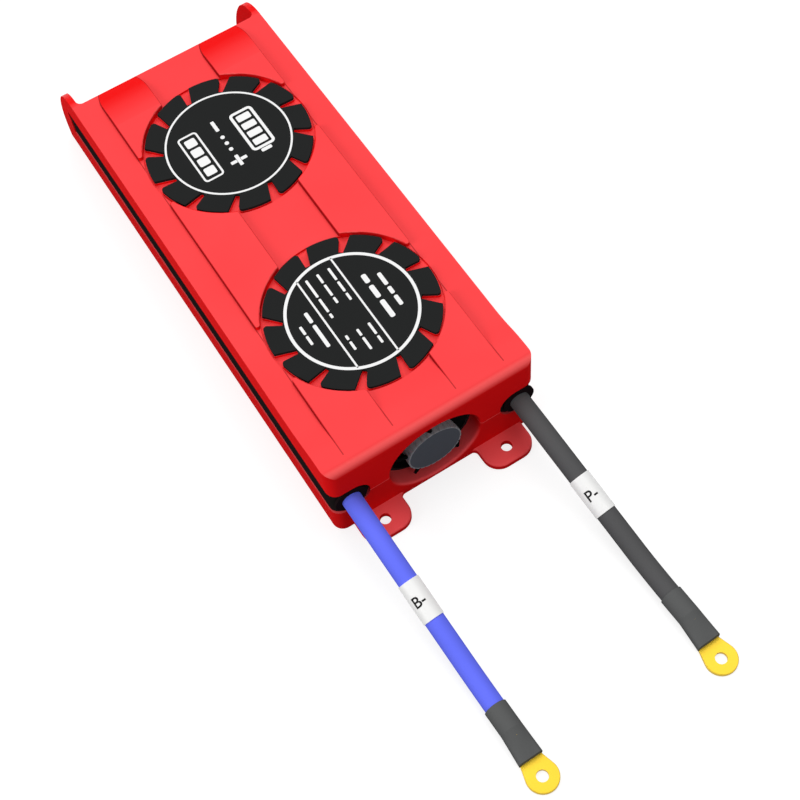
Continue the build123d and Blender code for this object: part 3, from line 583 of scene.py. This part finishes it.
dress(
    gold_brass, "gold_brass",
    nodes["socket_pins"], nodes["battery_terminal"], nodes["pack_terminal"],
)
dress(copper_winding, "copper_winding", nodes["fan_stator"])
dress(lug_brass, "lug_brass", nodes["battery_lug"], nodes["pack_lug"])
print("metals dressed")

# %% [markdown]
# ### Cables, sleeves and heat-shrink
#
# Silicone sheaths are matte and a little dusty to the touch. The white marker sleeves are
# smooth shrink tube, and the black tube at each end has the faint ripple that shrinking
# leaves, so its grain is larger and deeper.

# %% Cable sheaths, sleeves and heat-shrink
cable_blue = surface(
    "cable_blue", linear(108, 120, 254), linear(104, 116, 251), 0.5,
    grain=0.25, depth=0.01, Specular_IOR_Level=dead_matte,
)
cable_black = surface(
    "cable_black", linear(90, 90, 91), linear(85, 85, 86), 0.52,
    grain=0.25, depth=0.01, Specular_IOR_Level=dead_matte,
)
sleeve_white = surface(
    "sleeve_white", linear(247, 247, 246), linear(244, 244, 243), 0.4,
    grain=0.3,
)
shrink_black = surface(
    "shrink_black", linear(96, 97, 97), linear(90, 91, 91), 0.5,
    grain=0.9, depth=0.03, Specular_IOR_Level=dead_matte,
)
dress(cable_blue, "cable_blue", cables["battery"])
dress(cable_black, "cable_black", cables["pack"], nodes["fan_lead"])
dress(sleeve_white, "sleeve_white", nodes["battery_sleeve"], nodes["pack_sleeve"])
dress(shrink_black, "shrink_black", nodes["battery_shrink"], nodes["pack_shrink"])
print("cable parts dressed")

# %% [markdown]
# ## Printing on the label plates
#
# Each dark plate carries white ink: a ring, and inside it signs and lines. Ink could be an
# image on the plate, but an image has pixels and a file. Here each mark is a real film of
# ink a twentieth of a millimetre high, cut from flat shapes, so its edges stay sharp.
# The marks are plain signs: a battery, a plus, a minus and bars.

# %% Ink, and helpers for flat shapes
ink_height = 0.05 * mm
bar_segments = 4
frame_segments = 6
ring_corners = 144
ink_white = surface(
    "ink_white", linear(240, 240, 240), linear(236, 236, 236), 0.45,
    grain=0.2, depth=0.003, Specular_IOR_Level=matte,
)


def thicken(height):
    """Give the flat shape that is being edited a thickness, with its faces outwards."""
    bpy.ops.object.mode_set(mode="EDIT")
    bpy.ops.mesh.select_all(action="SELECT")
    bpy.ops.mesh.extrude_region_move(TRANSFORM_OT_translate={"value": (0.0, 0.0, height)})
    bpy.ops.mesh.select_all(action="SELECT")
    bpy.ops.mesh.normals_make_consistent(inside=False)
    bpy.ops.object.mode_set(mode="OBJECT")


def ink_ring(middle, outer, inner):
    """Round line of ink between two radii."""
    bpy.ops.object.select_all(action="DESELECT")
    bpy.ops.mesh.primitive_circle_add(
        vertices=ring_corners, radius=outer, fill_type="NGON", location=middle
    )
    bpy.ops.object.transform_apply(location=True, rotation=False, scale=False)
    bpy.ops.object.mode_set(mode="EDIT")
    bpy.ops.mesh.select_all(action="SELECT")
    bpy.ops.mesh.inset(thickness=outer - inner)
    bpy.ops.mesh.delete(type="FACE")
    thicken(ink_height)
    return bpy.context.object


def rounded_plate(middle, along, across, corner, segments):
    """Flat plate with rounded corners, left in edit mode; along is its length on Y."""
    bpy.ops.object.select_all(action="DESELECT")
    bpy.ops.mesh.primitive_plane_add(size=1.0, location=middle)
    plate = bpy.context.object
    plate.scale = (across, along, 1.0)
    bpy.ops.object.transform_apply(location=True, rotation=False, scale=True)
    bpy.ops.object.mode_set(mode="EDIT")
    bpy.ops.mesh.select_all(action="SELECT")
    bpy.ops.mesh.bevel(offset=corner, segments=segments, affect="VERTICES")
    return plate


def ink_bar(middle, along, across, corner):
    """Bar of ink with rounded corners."""
    bar = rounded_plate(middle, along, across, corner, bar_segments)
    thicken(ink_height)
    return bar


def ink_frame(middle, along, across, corner, line):
    """Outline of a rounded rectangle, made from a plate whose middle is taken out."""
    outline = rounded_plate(middle, along, across, corner, frame_segments)
    bpy.ops.mesh.select_all(action="SELECT")
    bpy.ops.mesh.inset(thickness=line)
    bpy.ops.mesh.delete(type="FACE")
    thicken(ink_height)
    return outline


print("ink", round(ink_height / mm, 2), "mm high")

# %% [markdown]
# All marks of a plate are joined into one printed piece. The print is read with +X up and
# -Y to the right, so a small helper turns a place on the print, in mm to the right and up
# from the plate's middle, into a place in space.

# %% Places on the print
label_slot = "label_black"
bar_roundness = 0.35


def disc_middle(node_name):
    """Middle of a label plate, at the height of its upper face."""
    low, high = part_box(node_name)
    return Vector(((low[0] + high[0]) / 2, (low[1] + high[1]) / 2, high[2]))


def on_print(middle, right, up):
    """Place of a mark that lies so many mm right of and above the middle of a print."""
    return Vector((middle.x + up * mm, middle.y - right * mm, middle.z))


def bar_row(middle, up, height, gap, words, start=None):
    """Row of bars like a line of words, from its start or centred on the plate."""
    total = sum(words) + gap * (len(words) - 1)
    edge = -total / 2 if start is None else start
    marks = []
    for word in words:
        place = on_print(middle, edge + word / 2, up)
        marks.append(ink_bar(place, word * mm, height * mm, bar_roundness * height * mm))
        edge += word + gap
    return marks


def join_print(name, marks):
    """Join marks into one printed piece that rides on the enclosure."""
    bpy.ops.object.select_all(action="DESELECT")
    for mark in marks:
        mark.select_set(True)
    bpy.context.view_layer.objects.active = marks[0]
    bpy.ops.object.join()
    piece = bpy.context.object
    piece.name = name
    dress(ink_white, label_slot, piece)
    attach(piece, "enclosure")
    print(name, len(marks), "marks", len(piece.data.polygons), "faces")


rear_middle = disc_middle("rear_label")
front_middle = disc_middle("front_label")
print("middle of the rear print", [round(v / mm, 2) for v in rear_middle])

# %% [markdown]
# ### Front plate
#
# Two thin lines cross the ring. Above them stands a title of two rows, between them three
# rows of small print in two columns, and below them two rows more. Bars of uneven length
# give the rhythm of words without saying anything.

# %% Front print
ring_outer = 18.9
front_ring_line = 0.9
divider_width = 0.55
divider_corner = 0.05
divider_heights = (3.7, -8.1)
left_column = -15.4
right_column = 6.0
# Height above the middle, height of a bar, gap between bars, bars, and where the row starts
front_rows = (
    (12.2, 1.2, 0.8, (4.6, 2.6, 3.6), None),
    (8.3, 1.5, 1.1, (3.2, 4.6, 6.4), None),
    (1.5, 0.75, 0.7, (4.6, 3.8, 2.6), left_column),
    (1.5, 0.75, 0.7, (4.2, 2.6), right_column),
    (-2.1, 0.75, 0.7, (3.4, 4.2, 2.2), left_column),
    (-2.1, 0.75, 0.7, (2.4, 4.4), right_column),
    (-5.7, 0.75, 0.7, (6.6, 5.0, 1.6), left_column),
    (-5.7, 0.75, 0.7, (1.6, 3.0), right_column),
    (-11.2, 1.1, 0.9, (3.8, 8.2), None),
    (-14.6, 0.8, 0.6, (3.0, 3.2), None),
)

front_ring_inner = ring_outer - front_ring_line
front_marks = [ink_ring(front_middle, ring_outer * mm, front_ring_inner * mm)]
for up in divider_heights:
    half_chord = math.sqrt((front_ring_inner + divider_width / 2) ** 2 - up**2)
    place = on_print(front_middle, 0.0, up)
    front_marks.append(
        ink_bar(place, 2 * half_chord * mm, divider_width * mm, divider_corner * mm)
    )
for up, height, gap, words, start in front_rows:
    front_marks += bar_row(front_middle, up, height, gap, words, start)
join_print("front_print", front_marks)

# %% [markdown]
# ### Rear plate
#
# The rear plate says what the board is for with the common sign of a battery: an outline
# with a small terminal at one end and bars for its charge. Below it stand a minus and a
# plus, and a framed row of four cells.

# %% Rear print
rear_ring_line = 0.6
battery_up = 8.2
signs_up = -0.6
sign_right = 7.4
sign_length = 4.2
sign_line = 1.1
plus_arm = 1.95
plus_arm_up = 1.65
cells_up = -9.4
charge_start = -5.7
charge_pitch = 3.4
dot_pitch = 2.6
cell_pitch = 4.0
# Place to the right and above the middle, length, width, corner and line of each outline
rear_frames = (
    (-0.6, battery_up, 16.0, 7.6, 1.4, 0.9),
    (0.0, cells_up, 18.6, 6.4, 1.2, 0.6),
)
# The same for the solid bars, which have no line
rear_bars = [
    (8.3, battery_up, 1.2, 3.4, 0.4),
    (-sign_right, signs_up, sign_length, sign_line, 0.2),
    (sign_right, signs_up, sign_length, sign_line, 0.2),
    (sign_right, signs_up + plus_arm_up, sign_line, plus_arm, 0.2),
    (sign_right, signs_up - plus_arm_up, sign_line, plus_arm, 0.2),
]
for index in range(4):
    rear_bars.append((charge_start + index * charge_pitch, battery_up, 2.4, 4.4, 0.4))
for index in range(3):
    rear_bars.append(((index - 1) * dot_pitch, signs_up, 1.3, 1.3, 0.6))
for index in range(4):
    rear_bars.append(((index - 1.5) * cell_pitch, cells_up, 3.1, 3.4, 0.5))

rear_marks = [ink_ring(rear_middle, ring_outer * mm, (ring_outer - rear_ring_line) * mm)]
for right, up, *sizes in rear_frames:
    rear_marks.append(ink_frame(on_print(rear_middle, right, up), *[v * mm for v in sizes]))
for right, up, *sizes in rear_bars:
    rear_marks.append(ink_bar(on_print(rear_middle, right, up), *[v * mm for v in sizes]))
join_print("rear_print", rear_marks)

# %% [markdown]
# ## Marks on the sleeves
#
# Each white sleeve says which terminal its cable is: B- for the battery's minus side and P-
# for the pack's. A text object gives the letters. Turned into a mesh and cut into narrow
# strips, they can be bent round the sleeve like the printed tube they are.

# %% Flat letters
mark_height = 3.1 * mm
mark_strips = 14
letter_weight = 0.012
merge_distance = 0.001 * mm


def reach_on(piece, axis):
    """Lowest and highest place of a mesh's points on an axis."""
    places = [vertex.co[axis] for vertex in piece.data.vertices]
    return min(places), max(places)


def flat_letters(text):
    """Letters as a flat mesh, centred, cut into strips across their width."""
    bpy.ops.object.select_all(action="DESELECT")
    bpy.ops.object.text_add()
    words = bpy.context.object
    words.data.body = text
    words.data.resolution_u = 6
    words.data.offset = letter_weight
    bpy.ops.object.convert(target="MESH")
    letters = bpy.context.object
    lower, upper = reach_on(letters, 1)
    for vertex in letters.data.vertices:
        vertex.co *= mark_height / (upper - lower)
    left, right = reach_on(letters, 0)
    lower, upper = reach_on(letters, 1)
    for vertex in letters.data.vertices:
        vertex.co.x -= (left + right) / 2
        vertex.co.y -= (lower + upper) / 2
    bpy.ops.object.mode_set(mode="EDIT")
    for index in range(1, mark_strips):
        bpy.ops.mesh.select_all(action="SELECT")
        cut_x = (right - left) * (index / mark_strips - 0.5)
        bpy.ops.mesh.bisect(plane_co=(cut_x, 0.0, 0.0), plane_no=(1.0, 0.0, 0.0))
    bpy.ops.mesh.select_all(action="SELECT")
    bpy.ops.mesh.remove_doubles(threshold=merge_distance)
    bpy.ops.object.mode_set(mode="OBJECT")
    return letters


print("letters", round(mark_height / mm, 1), "mm high, in", mark_strips, "strips")

# %% [markdown]
# The letters lie across the cable, with their top towards the housing, and are turned a
# little to the side, as the photograph shows. The sleeve sits where the cable slopes down,
# between the third and fourth points of its route.

# %% Letters bent round the sleeves
mark_ink = 0.04 * mm
mark_turn = math.radians(-20.0)
sleeve_wall = 0.25 * mm
sleeve_radius = cable_radius + sleeve_wall
ink_black = surface(
    "ink_black", linear(22, 22, 22), linear(26, 26, 26), 0.5,
    grain=0.2, depth=0.002, Specular_IOR_Level=matte,
)


def wrap_round(piece, middle, way):
    """Bend a flat piece round a tube that runs along way, with its top against that way."""
    outwards = (Vector((0, 0, 1)) - way * way.z).normalized()
    sideways = outwards.cross(way)
    for vertex in piece.data.vertices:
        angle = vertex.co.x / sleeve_radius + mark_turn
        spoke = sideways * math.sin(angle) + outwards * math.cos(angle)
        vertex.co = middle - way * vertex.co.y + spoke * (sleeve_radius + vertex.co.z)


for cable_name, text in (("battery", "B-"), ("pack", "P-")):
    run_start, run_end = (Vector(place) * mm for place in cable_routes[cable_name][2:4])
    letters = flat_letters(text)
    letters.name = f"{cable_name}_mark"
    thicken(mark_ink)
    wrap_round(letters, (run_start + run_end) / 2, (run_end - run_start).normalized())
    dress(ink_black, label_slot, letters)
    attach(letters, "enclosure")
    print(letters.name, len(letters.data.polygons), "faces")

# %% [markdown]
# ## The cables on the enclosure
#
# A free cable is more than a bent tube. Here the CAD model's own cable piece is hidden,
# and the smooth cable is attached to the enclosure in its place.

for cable_name, cable in cables.items():
    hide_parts(f"{cable_name}_cable")
    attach(cable, "enclosure")

# %% [markdown]
# ## Floor and light
#
# The photograph has a white ground and soft light from above and behind, so that the roof
# is the brightest face, the left side is darker and the front wall darker still. The floor
# could be lit until it is white, but then it would light the object from below. So its own
# colour is a middling grey, which sends little light back up and still shows the shadow,
# and its material adds the white that the camera sees.

# %% Floor
floor_size = 40.0
floor_grey = 0.32
floor_white = 0.76
floor_roughness = 0.9


def seen_directly(tree):
    """Output that is 1 for the camera and for mirror images, and 0 for light that spreads."""
    path = tree.nodes.new("ShaderNodeLightPath")
    seen = path.outputs["Is Camera Ray"]
    for ray in ("Is Glossy Ray", "Is Transmission Ray"):
        seen = calculate(tree, "MAXIMUM", seen, path.outputs[ray])
    return seen


bpy.ops.object.select_all(action="DESELECT")
bpy.ops.mesh.primitive_plane_add(size=floor_size, location=(0, 0, 0))
floor = bpy.context.object
floor.name = "floor"
floor_material = bpy.data.materials.new("floor_white")
floor_material.use_nodes = True
tree = floor_material.node_tree
floor_shader = tree.nodes["Principled BSDF"]
floor_shader.inputs["Base Color"].default_value = (floor_grey, floor_grey, floor_grey, 1.0)
floor_shader.inputs["Roughness"].default_value = floor_roughness
floor_shader.inputs["Specular IOR Level"].default_value = 0.0
glow = tree.nodes.new("ShaderNodeEmission")
glow_strength = calculate(tree, "MULTIPLY", seen_directly(tree), floor_white)
feed(tree, glow_strength, glow.inputs["Strength"])
both = tree.nodes.new("ShaderNodeAddShader")
tree.links.new(floor_shader.outputs["BSDF"], both.inputs[0])
tree.links.new(glow.outputs["Emission"], both.inputs[1])
tree.links.new(both.outputs["Shader"], tree.nodes["Material Output"].inputs["Surface"])
floor.data.materials.append(floor_material)
print("floor shows as", floor_grey + floor_white, "in full light")

# %% [markdown]
# The sky lights the object weakly, but the camera sees it as pale as the far floor, so that
# no horizon shows in a low view.

# %% Sky
sky_light = 0.3
sky_seen = floor_white + floor_grey * sky_light
world = bpy.data.worlds.new("sky")
bpy.context.scene.world = world
world.use_nodes = True
tree = world.node_tree
sky = tree.nodes["Background"]
sky.inputs["Color"].default_value = (1.0, 1.0, 1.0, 1.0)
sky_strength = stretch(tree, seen_directly(tree), 0.0, 1.0, sky_light, sky_seen)
feed(tree, sky_strength, sky.inputs["Strength"])
print("sky gives", sky_light, "and shows as", round(sky_seen, 3))

# %% [markdown]
# Three lamps give the order of light and dark. The strongest hangs overhead, towards the
# socket end, one on the left lights that side, and a weak one in front keeps the fan end
# from going black. All are large squares, which give soft shadows.

# %% Lamps
# Name, place, the place it points at, width in m and power in W
lamps = (
    ("overhead", (0.15, 0.26, 0.92), (0, -0.02, 0), 0.9, 6.8),
    ("left", (-0.8, 0.0, 0.45), (0, -0.02, 0.02), 0.5, 3.1),
    ("front", (0.1, -0.75, 0.7), (0, -0.05, 0), 0.5, 1.2),
)
for lamp_name, place, aim, width, power in lamps:
    lamp_data = bpy.data.lights.new(lamp_name, "AREA")
    lamp_data.size = width
    lamp_data.energy = power
    lamp = bpy.data.objects.new(lamp_name, lamp_data)
    bpy.context.scene.collection.objects.link(lamp)
    turn = (Vector(aim) - Vector(place)).to_track_quat("-Z", "Y")
    lamp.matrix_world = Matrix.Translation(place) @ turn.to_matrix().to_4x4()
bpy.context.scene.view_settings.view_transform = "Standard"
print("lamps", [lamp[0] for lamp in lamps])
